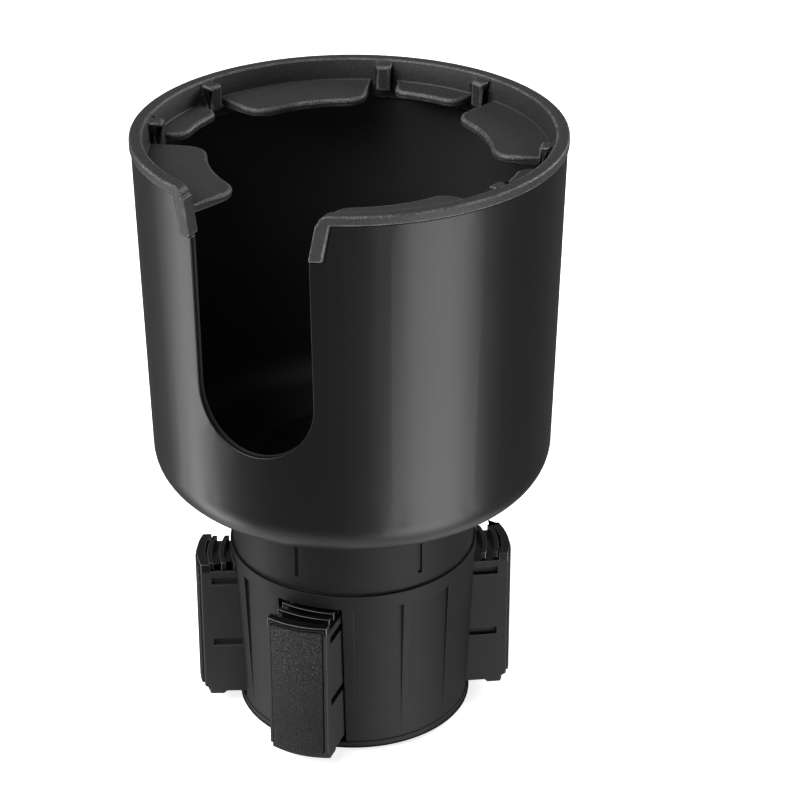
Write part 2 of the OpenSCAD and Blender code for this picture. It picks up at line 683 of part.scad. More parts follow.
// A tooth is curved like the part of the scroll that it works in
function tooth_curve(r) = (max(r - travel_in, scroll_in_r) + min(r + travel_out, scroll_out_r)) / 2;
function tooth_width(r) = r - ridge_t / 2 < block_in + 0.4 ? arm_w / 2 - 0.5
    : r < block_in + 6 ? tooth_half_w - 1.6 : tooth_half_w;

module leg_teeth(a) for (r = tooth_radii(a)) intersection() {
    translate([r - tooth_curve(r), lead / 2 / PI, 0])
        ring(tooth_curve(r) + ridge_t / 2, tooth_curve(r) - ridge_t / 2, ridge_h + EPS);
    translate([r - 6, -tooth_width(r), -1]) cube([12, 2 * tooth_width(r), ridge_h + 2]);
}

module grip_recess(grow, depth) {
    half_w = leg_w / 2 - pad_margin + grow;
    low = leg_low_z + toe_h + 0.1 - grow;
    high = tooth_top_z - pad_margin - 0.1 + grow;
    c = 0.9;
    intersection() {
        translate([face_mid, 0, 0]) ring(face_r + 1, face_r - depth, tooth_top_z + 5);
        translate([leg_reach - 6, 0, 0]) rotate([90, 0, 90]) linear_extrude(height = 10) union() {
            translate([-half_w + c, low]) square([2 * (half_w - c), high - low]);
            translate([-half_w, low + c]) square([2 * half_w, high - low - 2 * c]);
            for (x = [-1, 1], z = [low + c, high - c]) translate([x * (half_w - c), z]) circle(r = c, $fn = 32);
        }
    }
}

pocket_d = pad_t + 0.2;
module leg(a) color([0.15, 0.15, 0.155]) at_azimuth(a) {
    difference() {
        intersection() {
            linear_extrude(height = tooth_top_z) leg_plan();
            translate([0, leg_w / 2 + 1, 0]) rotate([90, 0, 0]) linear_extrude(height = leg_w + 2) leg_side();
        }
        toe_waste();
        // toothed deck behind the skin
        translate([face_mid, 0, leg_deck_z]) cylinder(r = face_r - leg_skin, h = ridge_h + 1);
        // guide grooves
        for (side = [-1, 1], z = [groove_low_z, groove_high_z])
            translate([block_in - 1, side * leg_w / 2 - groove_d, z - groove_h / 2])
                cube([groove_out - block_in + 1, 2 * groove_d, groove_h]);
        // slot over the stop peg
        translate([stop_r - stop_l / 2 - travel_out - 0.3, -stop_w / 2 - 0.4, leg_low_z - 1])
            cube([stop_l + travel_in + travel_out + 0.6, stop_w + 0.8, sleeve_z + stop_h + 0.6 - leg_low_z + 1]);
        // hollow back with one rib across
        for (z = [[leg_low_z + 6, groove_low_z + 2], [groove_low_z + 4, groove_high_z - 2.6]])
            translate([block_in - 1, -leg_w / 2 + groove_d + 1.7, z[0]])
                cube([leg_block_l - 3.6, leg_w - 2 * groove_d - 3.4, z[1] - z[0]]);
        grip_recess(0.3, pocket_d);
    }
    translate([arm_in, -arm_w / 2, leg_deck_z - 4]) cube([arm_l + EPS, arm_w, 4]);
    translate([0, 0, leg_deck_z - EPS]) leg_teeth(a);
}

module grip(a) color([0.22, 0.22, 0.225]) at_azimuth(a) intersection() {
    grip_recess(0, pocket_d - EPS);
    translate([face_mid, 0, 0]) cylinder(r = face_r + pad_proud, h = total_h);
}

module leg_front() leg(leg_az[0]);
module leg_right() leg(leg_az[1]);
module leg_back() leg(leg_az[2]);
module leg_left() leg(leg_az[3]);
module grip_front() grip(leg_az[0]);
module grip_right() grip(leg_az[1]);
module grip_back() grip(leg_az[2]);
module grip_left() grip(leg_az[3]);

cup_shell();
rim_ring();
floor_pad();
cup_screws();
neck();
scroll_plate();
scroll_screws();
spindle();
spindle_washer();
thrust_washer();
spindle_nut();
glide_ring();
sleeve();
bottom_plate();
foot_screws();
foot_pad();
leg_front();
leg_right();
leg_back();
leg_left();
grip_front();
grip_right();
grip_back();
grip_left();
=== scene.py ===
"""Looks, light and camera for a car's cup holder expander.

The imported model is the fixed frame: every piece made here stands exactly where
its solid does. Lengths are written in millimetres and turned into metres where
a mesh is made. An azimuth is measured from -Y towards +X, as in the model.
"""

from __future__ import annotations

import json
import logging
import math
from dataclasses import dataclass, field
from enum import Enum
from typing import Sequence, Union

import bmesh
import bpy
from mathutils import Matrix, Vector
from mathutils.kdtree import KDTree

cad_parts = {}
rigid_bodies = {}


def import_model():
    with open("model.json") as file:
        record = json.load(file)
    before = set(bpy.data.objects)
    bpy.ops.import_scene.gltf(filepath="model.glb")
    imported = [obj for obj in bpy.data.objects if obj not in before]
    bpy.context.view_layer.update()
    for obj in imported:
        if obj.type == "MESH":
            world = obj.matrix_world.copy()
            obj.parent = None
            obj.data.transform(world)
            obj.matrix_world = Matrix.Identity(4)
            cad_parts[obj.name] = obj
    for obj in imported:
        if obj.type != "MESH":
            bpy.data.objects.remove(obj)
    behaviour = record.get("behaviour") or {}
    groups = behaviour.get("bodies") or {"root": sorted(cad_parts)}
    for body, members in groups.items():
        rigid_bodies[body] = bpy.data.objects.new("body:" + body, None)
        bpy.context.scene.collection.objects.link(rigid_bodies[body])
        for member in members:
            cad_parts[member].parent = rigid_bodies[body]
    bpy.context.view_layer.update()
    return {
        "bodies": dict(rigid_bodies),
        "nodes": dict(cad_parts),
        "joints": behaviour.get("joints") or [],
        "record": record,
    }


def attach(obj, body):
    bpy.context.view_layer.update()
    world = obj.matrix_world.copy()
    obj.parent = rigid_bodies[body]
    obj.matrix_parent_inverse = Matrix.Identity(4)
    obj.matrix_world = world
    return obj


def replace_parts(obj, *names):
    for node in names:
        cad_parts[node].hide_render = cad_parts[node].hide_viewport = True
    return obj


LOG = logging.getLogger("expander")
MM = 0.001
# Face layer that is 1 on a moulding's rounded outer edges, where some finishes paint a highlight
ROUNDING = "rounding"
# Sockets of a Mix node that mixes colours
MIX_SHARE = 0
MIX_FIRST = 6
MIX_SECOND = 7
MIX_RESULT = 2
Number = Union[int, float]
Colour = tuple[float, float, float]
Point = tuple[float, float, float]


# Shader expressions


class Signal:
    """One output socket of a shader tree, written into sums like a number."""

    def __init__(self, graph: Graph, socket: bpy.types.NodeSocket) -> None:
        """Wraps a socket.

        Args:
            graph: The tree that the socket belongs to.
            socket: The output socket.
        """
        self.graph = graph
        self.socket = socket

    def _pair(self, operation: str, left: Operand, right: Operand) -> Signal:
        """Adds the node that joins two operands.

        Args:
            operation: ADD, SUBTRACT, MULTIPLY or POWER.
            left: First operand.
            right: Second operand.

        Returns:
            The node's result.
        """
        kind = "ShaderNodeVectorMath" if self.socket.type == "VECTOR" else "ShaderNodeMath"
        return self.graph.node(kind, {"operation": operation}, {0: left, 1: right})

    def __add__(self, other: Operand) -> Signal:
        """Sum."""
        return self._pair("ADD", self, other)

    def __radd__(self, other: Operand) -> Signal:
        """Sum with the signal on the right."""
        return self._pair("ADD", other, self)

    def __sub__(self, other: Operand) -> Signal:
        """Difference."""
        return self._pair("SUBTRACT", self, other)

    def __rsub__(self, other: Operand) -> Signal:
        """Difference with the signal on the right."""
        return self._pair("SUBTRACT", other, self)

    def __mul__(self, other: Operand) -> Signal:
        """Product."""
        return self._pair("MULTIPLY", self, other)

    def __pow__(self, other: Operand) -> Signal:
        """Power."""
        return self._pair("POWER", self, other)


Operand = Union[Signal, Number, Sequence[float]]


class Graph:
    """The node tree of one material."""

    def __init__(self, name: str) -> None:
        """Makes an empty material.

        Args:
            name: The material's name.
        """
        self.material = bpy.data.materials.new(name)
        self.material.use_nodes = True
        self.tree = self.material.node_tree
        self.tree.nodes.clear()

    def node(
        self,
        kind: str,
        settings: dict[str, object],
        inputs: dict[Union[int, str], Operand],
        output: Union[int, str] = 0,
    ) -> Signal:
        """Adds a node.

        Args:
            kind: The node's type.
            settings: Its properties, set before its sockets.
            inputs: Values or signals by socket name or number.
            output: The socket that is handed back.

        Returns:
            The chosen output.
        """
        node = self.tree.nodes.new(kind)
        for key, value in settings.items():
            setattr(node, key, value)
        for key, value in inputs.items():
            socket = node.inputs[key]
            if isinstance(value, Signal):
                self.tree.links.new(value.socket, socket)
            elif socket.type == "RGBA":
                socket.default_value = (*value, 1.0)
            else:
                socket.default_value = value
        return Signal(self, node.outputs[output])

    def place(self) -> Signal:
        """Hands back the surface point in the shared frame, in metres."""
        return self.node("ShaderNodeTexCoord", {}, {}, output="Object")

    def height(self) -> Signal:
        """Hands back the surface point's height, in metres."""
        return self.node("ShaderNodeSeparateXYZ", {}, {"Vector": self.place()}, output="Z")

    def radius(self) -> Signal:
        """Hands back the surface point's distance from the cup's axis, in metres."""
        flat = self.place() * (1.0, 1.0, 0.0)
        return self.node("ShaderNodeVectorMath", {"operation": "LENGTH"}, {0: flat}, output="Value")

    def rounding(self) -> Signal:
        """Hands back 1 on a moulding's rounded outer edges and 0 elsewhere."""
        return self.node("ShaderNodeAttribute", {"attribute_name": ROUNDING}, {}, output="Fac")

    def math(self, operation: str, first: Operand, second: Operand) -> Signal:
        """Joins two values by an operation that has no sign in Python.

        Args:
            operation: MAXIMUM or MINIMUM.
            first: First value.
            second: Second value.

        Returns:
            The result.
        """
        return self.node("ShaderNodeMath", {"operation": operation}, {0: first, 1: second})

    def noise(self, size_mm: float, detail: float = 2.0, roughness: float = 0.5) -> Signal:
        """Adds smooth noise.

        Args:
            size_mm: Size of its blobs.
            detail: Octaves.
            roughness: Share of the finer octaves.

        Returns:
            The noise from 0 to 1.
        """
        sockets = {"Vector": self.place(), "Scale": 1.0 / (size_mm * MM)}
        sockets.update({"Detail": detail, "Roughness": roughness})
        return self.node("ShaderNodeTexNoise", {}, sockets)

    def cells(self, size_mm: float, feature: str = "F1", at: Signal | None = None) -> Signal:
        """Adds cell noise.

        Args:
            size_mm: Size of a cell.
            feature: Which distance is read.
            at: Where it is read, or None for the surface point.

        Returns:
            The distance inside a cell.
        """
        sockets = {"Vector": at or self.place(), "Scale": 1.0 / (size_mm * MM)}
        return self.node("ShaderNodeTexVoronoi", {"feature": feature}, sockets, output="Distance")

    def warped(self, size_mm: float, reach_mm: float) -> Signal:
        """Hands back the surface point, pushed about by noise.

        Args:
            size_mm: Size of the noise's blobs.
            reach_mm: How far the point is pushed.

        Returns:
            The moved point.
        """
        sockets = {"Vector": self.place(), "Scale": 1.0 / (size_mm * MM), "Detail": 2.0}
        push = self.node("ShaderNodeTexNoise", {}, sockets, output="Color")
        shift = self.node("ShaderNodeVectorMath", {"operation": "SCALE"}, {0: push, "Scale": reach_mm * MM})
        return self.place() + shift

    def remap(
        self,
        value: Signal,
        low: float,
        high: float,
        at_low: float = 0.0,
        at_high: float = 1.0,
    ) -> Signal:
        """Maps a range to another and stays inside it.

        Args:
            value: What is mapped.
            low: Lower end of the range.
            high: Upper end of the range.
            at_low: Result at and below the lower end.
            at_high: Result at and above the upper end.

        Returns:
            The mapped value.
        """
        sockets = {"Value": value, "From Min": low, "From Max": high, "To Min": at_low, "To Max": at_high}
        return self.node("ShaderNodeMapRange", {"clamp": True}, sockets)

    def blend(self, factor: Operand, first: Operand, second: Operand) -> Signal:
        """Mixes two colours.

        Args:
            factor: Share of the second colour.
            first: First colour.
            second: Second colour.

        Returns:
            The mixed colour.
        """
        sockets = {MIX_SHARE: factor, MIX_FIRST: first, MIX_SECOND: second}
        return self.node("ShaderNodeMix", {"data_type": "RGBA"}, sockets, output=MIX_RESULT)

    def waver(self, factor: Signal, middle: float, spread: float) -> Signal:
        """Varies a number a little to both sides.

        Args:
            factor: Where it is lower and where higher, from 0 to 1.
            middle: The middle value.
            spread: From the lowest value to the highest.

        Returns:
            The varied number.
        """
        return middle - spread / 2.0 + factor * spread

    def mottle(self, factor: Operand, tint: Colour, spread: float) -> Signal:
        """Varies a colour a little to both sides.

        Args:
            factor: Where it is darker and where lighter, from 0 to 1.
            tint: The middle colour.
            spread: How far it strays, as a share of the colour.

        Returns:
            The varied colour.
        """
        dark = tuple(c * (1.0 - spread) for c in tint)
        light = tuple(min(1.0, c * (1.0 + spread)) for c in tint)
        return self.blend(factor, dark, light)

    def bump(self, height: Signal, depth_mm: float, strength: float) -> Signal:
        """Adds a bump.

        Args:
            height: Relief from 0 to 1.
            depth_mm: Depth of the relief.
            strength: Share of it that shows.

        Returns:
            The bent normal.
        """
        sockets = {"Height": height, "Distance": depth_mm * MM, "Strength": strength}
        return self.node("ShaderNodeBump", {}, sockets)

    def finish(self, inputs: dict[str, Operand]) -> bpy.types.Material:
        """Closes the tree with a surface shader.

        Args:
            inputs: The shader's sockets by name.

        Returns:
            The material.
        """
        shader = self.node("ShaderNodeBsdfPrincipled", {}, inputs)
        out = self.tree.nodes.new("ShaderNodeOutputMaterial")
        self.tree.links.new(shader.socket, out.inputs["Surface"])
        return self.material


# Finishes


@dataclass(frozen=True)
class SatinShell:
    """Black ABS off a polished tool outside and a blasted core inside.

    The corner is the circle that the shell's bottom edge is rounded on, and the
    skin is the distance from it to the middle of the wall. Above the corner the
    wall leans outward by the taper. The two finishes meet within the seam, on
    both sides of the wall's middle.
    """

    slot: str = "cup_satin"
    tint: Colour = (0.0032, 0.003, 0.0034)
    roughness: float = 0.36
    shine: float = 0.36
    core_tint: Colour = (0.019, 0.0185, 0.0195)
    core_roughness: float = 0.5
    haze_mm: float = 38.0
    grain_mm: float = 0.5
    depth_mm: float = 0.004
    corner_r: float = 41.6
    corner_z: float = 80.7
    skin: float = 9.35
    taper: float = 0.0257
    seam: float = 0.3

    def inside(self, g: Graph) -> Signal:
        """Tells the inner face of the shell from the outer one.

        Args:
            g: The material's tree.

        Returns:
            1 on the inner face and 0 on the outer one.
        """
        outward = g.math("MAXIMUM", g.radius() - self.corner_r * MM, 0.0)
        above = g.height() - self.corner_z * MM
        below = g.math("MINIMUM", above, 0.0)
        reach = (outward * outward + below * below) ** 0.5 - g.math("MAXIMUM", above, 0.0) * self.taper
        return g.remap(reach, (self.skin - self.seam) * MM, (self.skin + self.seam) * MM, 1.0, 0.0)

    def build(self) -> bpy.types.Material:
        """Makes the material.

        Returns:
            The material.
        """
        g = Graph(self.slot)
        haze = g.noise(self.haze_mm, 3.0, 0.55)
        grain = g.noise(self.grain_mm, 2.0, 0.6)
        inside = self.inside(g)
        tone = g.blend(inside, g.mottle(haze, self.tint, 0.12), g.mottle(haze, self.core_tint, 0.2))
        rough = g.waver(haze, self.roughness, 0.04)
        return g.finish({
            "Base Color": tone,
            "Roughness": rough + inside * (self.core_roughness - self.roughness),
            "Specular IOR Level": self.shine,
            "Normal": g.bump(grain * (1.0 + inside * 4.0) + haze * 3.0, self.depth_mm, 0.3),
        })


@dataclass(frozen=True)
class GrainRubber:
    """Matte rubber with a fine even grain.

    A few pale specks lie on its faces, and along its rounded outer edges
    pale specks paint a highlight here and there.
    """

    slot: str
    tint: Colour
    grain_mm: float = 0.42
    depth_mm: float = 0.05
    roughness: float = 0.66
    shine: float = 0.4
    wear_mm: float = 14.0
    # Pale specks and a painted highlight along rounded edges: strength, colour, edge share, face share and
    # the highlight's patch size
    speck_and_highlight: float = 0.0
    speck_and_highlight_tint: Colour = (0.17, 0.17, 0.172)
    edge_highlight_strength: float = 0.7
    face_specks: float = 0.11
    highlight_patch_mm: float = 6.0

    def build(self) -> bpy.types.Material:
        """Makes the material.

        Returns:
            The material.
        """
        g = Graph(self.slot)
        grain = g.noise(self.grain_mm, 3.0, 0.62)
        pits = g.cells(self.grain_mm * 1.7)
        wear = g.noise(self.wear_mm, 4.0, 0.6)
        specks = g.remap(g.noise(self.grain_mm * 0.9, 2.0, 0.7), 0.42, 0.62)
        highlight_patches = g.remap(g.noise(self.highlight_patch_mm, 3.0, 0.6), 0.35, 0.62, 0.3, 1.0)
        # Painted highlight in patches along the rounded edges, plus a few pale specks on the faces
        share = g.rounding() * highlight_patches * self.edge_highlight_strength + self.face_specks
        specks_and_highlight_mask = share * (specks * 0.85 + 0.15) * self.speck_and_highlight
        return g.finish({
            "Base Color": g.blend(specks_and_highlight_mask, g.mottle(wear, self.tint, 0.2), self.speck_and_highlight_tint),
            "Roughness": g.waver(grain, self.roughness, 0.12) - specks_and_highlight_mask * 0.1,
            "Specular IOR Level": self.shine,
            "Normal": g.bump(grain * 0.7 + pits * 0.5, self.depth_mm, 0.6),
        })


@dataclass(frozen=True)
class SparkPlastic:
    """Black plastic off a spark-eroded tool, with a painted highlight along its rounded outer edges.

    Above one height, where the teeth run, it is dark and glossy, its painted edge
    highlight is stronger, and the change lies between two offsets from that height.
    For a piece without teeth the height lies above the whole part.
    """

    slot: str
    tint: Colour
    # Colour of the painted highlight along the rounded outer edges
    edge_highlight_tint: Colour
    grain_mm: float = 0.3
    depth_mm: float = 0.03
    flow_mm: float = 22.0
    roughness: float = 0.6
    shine: float = 0.3
    smooth_above: float = 200.0
    change_from: float = -0.6
    change_to: float = 0.1
    smooth_tint: Colour = (0.003, 0.003, 0.0032)
    smooth_roughness: float = 0.2
    smooth_coat: float = 0.8
    coat_roughness: float = 0.12

    def build(self) -> bpy.types.Material:
        """Makes the material.

        Returns:
            The material.
        """
        g = Graph(self.slot)
        grain = g.noise(self.grain_mm, 2.0, 0.7)
        flow = g.noise(self.flow_mm, 3.0, 0.5)
        low = self.smooth_above + self.change_from
        high = self.smooth_above + self.change_to
        smooth = g.remap(g.height(), low * MM, high * MM)
        rough = g.waver(flow, self.roughness, 0.08)
        face = g.blend(smooth, g.mottle(flow, self.tint, 0.16), self.smooth_tint)
        # Painted highlight along the rounded edges, stronger on the glossy teeth
        edge_highlight_share = g.rounding() * (0.1 + flow * 0.5 + smooth * 0.5)
        return g.finish({
            "Base Color": g.blend(edge_highlight_share, face, self.edge_highlight_tint),
            "Roughness": rough - smooth * (self.roughness - self.smooth_roughness),
            "Coat Weight": smooth * self.smooth_coat,
            "Coat Roughness": self.coat_roughness,
            "Specular IOR Level": self.shine,
            "Normal": g.bump(grain * (1.0 - smooth), self.depth_mm, 0.5),
        })


@dataclass(frozen=True)
class PebbledPad:
    """Rubber pad with a leather-like grain of rounded pebbles.

    Some pebble tops carry a painted highlight, more of them towards the pad's upper
    end, and the creases between the pebbles are darkened as painted shade.
    """

    slot: str = "grip_rubber"
    tint: Colour = (0.0075, 0.0072, 0.0078)
    # Colour of the painted highlight on pebble tops
    pebble_highlight_tint: Colour = (0.07, 0.069, 0.071)
    pebble_mm: float = 0.7
    warp_mm: float = 1.1
    warp_reach_mm: float = 0.6
    pore_mm: float = 0.22
    fleck_mm: float = 0.5
    depth_mm: float = 0.26
    roughness: float = 0.6
    shine: float = 0.22
    # Heights over which the painted highlight grows stronger
    highlight_from_z: float = 16.0
    highlight_to_z: float = 36.0

    def build(self) -> bpy.types.Material:
        """Makes the material.

        Returns:
            The material.
        """
        g = Graph(self.slot)
        place = g.warped(self.warp_mm, self.warp_reach_mm)
        pebble = g.remap(g.cells(self.pebble_mm, "DISTANCE_TO_EDGE", place), 0.0, 0.16)
        height = pebble * 0.8 + g.noise(self.pore_mm, 2.0, 0.6) * 0.2
        # Creases between the pebbles darkened: painted shade
        tone = g.blend(pebble, tuple(c * 0.45 for c in self.tint), self.tint)
        flecks = g.remap(g.noise(self.fleck_mm, 2.0, 0.6), 0.48, 0.7)
        # Painted highlight on pebble tops, stronger towards the pad's upper end
        highlight_towards_top = g.remap(g.height(), self.highlight_from_z * MM, self.highlight_to_z * MM, 0.08, 0.75)
        return g.finish({
            "Base Color": g.blend(pebble * flecks * highlight_towards_top, tone, self.pebble_highlight_tint),
            "Roughness": self.roughness - pebble * 0.14,
            "Specular IOR Level": self.shine,
            "Normal": g.bump(height, self.depth_mm, 0.8),
        })


@dataclass(frozen=True)
class MouldedPlastic:
    """Plain moulded acetal with a soft sheen."""

    slot: str
    tint: Colour
    roughness: float = 0.42
    flow_mm: float = 9.0
    grain_mm: float = 0.6
    depth_mm: float = 0.01

    def build(self) -> bpy.types.Material:
        """Makes the material.

        Returns:
            The material.
        """
        g = Graph(self.slot)
        flow = g.noise(self.flow_mm, 3.0, 0.5)
        return g.finish({
            "Base Color": g.mottle(flow, self.tint, 0.1),
            "Roughness": g.waver(flow, self.roughness, 0.08),
            "Normal": g.bump(g.noise(self.grain_mm), self.depth_mm, 0.4),
        })


@dataclass(frozen=True)
class PlatedSteel:
    """Steel with fine turning marks."""

    slot: str
    tint: Colour
    roughness: float = 0.31
    tarnish_mm: float = 2.5
    mark_mm: float = 0.25
    depth_mm: float = 0.008

    def build(self) -> bpy.types.Material:
        """Makes the material.

        Returns:
            The material.
        """
        g = Graph(self.slot)
        tarnish = g.noise(self.tarnish_mm, 3.0, 0.6)
        return g.finish({
            "Base Color": g.mottle(tarnish, self.tint, 0.12),
            "Metallic": 1.0,
            "Roughness": g.waver(tarnish, self.roughness, 0.14),
            "Normal": g.bump(g.noise(self.mark_mm, 2.0, 0.6), self.depth_mm, 0.4),
        })


# Height of the legs' deck, which their teeth stand on
DECK_Z = 42.7
FINISHES = (
    SatinShell(),
    # The rim's rubber gets pale specks and a painted edge highlight
    GrainRubber("rim_rubber", (0.015, 0.0148, 0.0158), depth_mm=0.09, roughness=0.54, shine=0.34, speck_and_highlight=1.0),
    GrainRubber("pad_rubber", (0.006, 0.006, 0.0064), roughness=0.55, shine=0.3),
    GrainRubber("foot_rubber", (0.028, 0.028, 0.028)),
    SparkPlastic("base_plastic", (0.010, 0.0096, 0.0102), (0.03, 0.03, 0.031), roughness=0.56, shine=0.14),
    SparkPlastic(
        "leg_plastic", (0.021, 0.0206, 0.0216), (0.07, 0.07, 0.073),
        roughness=0.75, shine=0.12, smooth_above=DECK_Z,
    ),
    PebbledPad(),
    MouldedPlastic("scroll_plastic", (0.05, 0.05, 0.053), roughness=0.2),
    MouldedPlastic("glide_plastic", (0.02, 0.02, 0.02)),
    PlatedSteel("screw_steel", (0.42, 0.42, 0.44)),
    PlatedSteel("spindle_steel", (0.5, 0.5, 0.52)),
)


# Mesh work


class Edge(Enum):
    """How far a moulding's edges are rounded, in millimetres."""

    CRISP = 0.15
    MOULDED = 0.3
    SOFT = 0.45
    PLUMP = 0.85


@dataclass
class Workshop:
    """Makes pieces from the frame's nodes and dresses them.

    Points nearer than the weld, in metres, become one, and faces that bend less
    than flat_deg become one. Edges that bend more than sharp_deg are rounded, and
    a profile of 0.5 makes the rounding an arc of a circle.
    """

    frame: dict
    materials: dict[str, bpy.types.Material] = field(default_factory=dict)
    weld: float = 2e-6
    flat_deg: float = 0.4
    sharp_deg: float = 32.0
    profile: float = 0.5
    trace_mm: float = 0.6

    def __post_init__(self) -> None:
        """Makes the finishes and reads which node has which slot and body."""
        for finish in FINISHES:
            self.materials[finish.slot] = finish.build()
        record = self.frame["record"]
        self.slots = {part["node"]: part["material_slot"] for part in record["subparts"]}
        self.bodies = {node: body for body, nodes in record["behaviour"]["bodies"].items() for node in nodes}

    def dress(self, thing: bpy.types.Object, slot: str) -> None:
        """Gives an object one finish.

        Args:
            thing: The object.
            slot: The record's slot that names the finish.
        """
        thing.data.materials.clear()
        thing.data.materials.append(self.materials[slot])
        for face in thing.data.polygons:
            face.material_index = 0

    def keep(self, node: str) -> None:
        """Dresses a node that stays as it is.

        Args:
            node: The node's name.
        """
        self.dress(self.frame["nodes"][node], self.slots[node])
        LOG.info("%s keeps its solid", node)

    def raw(self, node: str) -> bmesh.types.BMesh:
        """Copies a node's mesh with its corners joined and its flat faces whole.

        Args:
            node: The node's name.

        Returns:
            The mesh in metres.
        """
        mesh = bmesh.new()
        mesh.from_mesh(self.frame["nodes"][node].data)
        bmesh.ops.remove_doubles(mesh, verts=mesh.verts, dist=self.weld)
        flat = math.radians(self.flat_deg)
        bmesh.ops.dissolve_limit(mesh, angle_limit=flat, verts=mesh.verts, edges=mesh.edges)
        mesh.normal_update()
        return mesh

    def soften(self, mesh: bmesh.types.BMesh, edge: Edge, steps: int, inside_mm: float = math.inf) -> None:
        """Rounds the sharp edges of a mesh and marks the faces that round an outer one.

        Args:
            mesh: The mesh, changed in place.
            edge: How far the edges are rounded.
            steps: Faces across a rounded edge.
            inside_mm: Only edges nearer to the axis than this are rounded.
        """
        limit = math.radians(self.sharp_deg)
        rounding = mesh.faces.layers.float.get(ROUNDING) or mesh.faces.layers.float.new(ROUNDING)
        sharp = [
            line for line in mesh.edges
            if len(line.link_faces) == 2
            and line.calc_face_angle(0.0) > limit
            and max(vert.co.xy.length for vert in line.verts) < inside_mm * MM
        ]
        corners = self.trace(sharp)
        made = bmesh.ops.bevel(
            mesh, geom=sharp, offset=edge.value * MM, offset_type="OFFSET", segments=steps,
            profile=self.profile, affect="EDGES", clamp_overlap=False, loop_slide=False,
        )
        mesh.normal_update()
        for face in made["faces"]:
            middle = face.calc_center_median()
            corner = corners.find(middle)[0]
            if corner is not None and (corner - middle).dot(face.normal) > 0.0:
                face[rounding] = 1.0

    def trace(self, sharp: list[bmesh.types.BMEdge]) -> KDTree:
        """Marks points along edges, so that a rounded face finds the corner that it was.

        Args:
            sharp: The edges.

        Returns:
            The points, ready to be searched.
        """
        points = []
        for line in sharp:
            start, end = (vert.co.copy() for vert in line.verts)
            parts = max(1, round(line.calc_length() / (self.trace_mm * MM)))
            points += [start.lerp(end, part / parts) for part in range(parts + 1)]
        corners = KDTree(len(points))
        for index, point in enumerate(points):
            corners.insert(point, index)
        corners.balance()
        return corners

    def mount(self, name: str, node: str, mesh: bmesh.types.BMesh) -> bpy.types.Object:
        """Turns a mesh into a piece that moves and is dressed like a node.

        Args:
            name: The piece's name.
            node: The node that it belongs to.
            mesh: Its mesh in metres, used up here.

        Returns:
            The piece.
        """
        data = bpy.data.meshes.new(name)
        mesh.to_mesh(data)
        mesh.free()
        data.shade_smooth()
        thing = bpy.data.objects.new(name, data)
        bpy.context.scene.collection.objects.link(thing)
        self.dress(thing, self.slots[node])
        thing.modifiers.new("even normals", "WEIGHTED_NORMAL")
        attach(thing, self.bodies[node])
        LOG.info("%s: %d faces", name, len(data.polygons))
        return thing

    def stand_in(self, node: str, mesh: bmesh.types.BMesh) -> None:
        """Puts a mesh in a node's place.

        Args:
            node: The node that it stands for.
            mesh: Its mesh in metres, used up here.
        """
        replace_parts(self.mount(f"{node}_moulding", node, mesh), node)

    def rounded(self, node: str, edge: Edge, steps: int = 2) -> None:
        """Puts a copy with rounded edges in a node's place.

        Args:
            node: The node's name.
            edge: How far the edges are rounded.
            steps: Faces across a rounded edge.
        """
        mesh = self.raw(node)
        self.soften(mesh, edge, steps)
        self.stand_in(node, mesh)


# Sub-assemblies


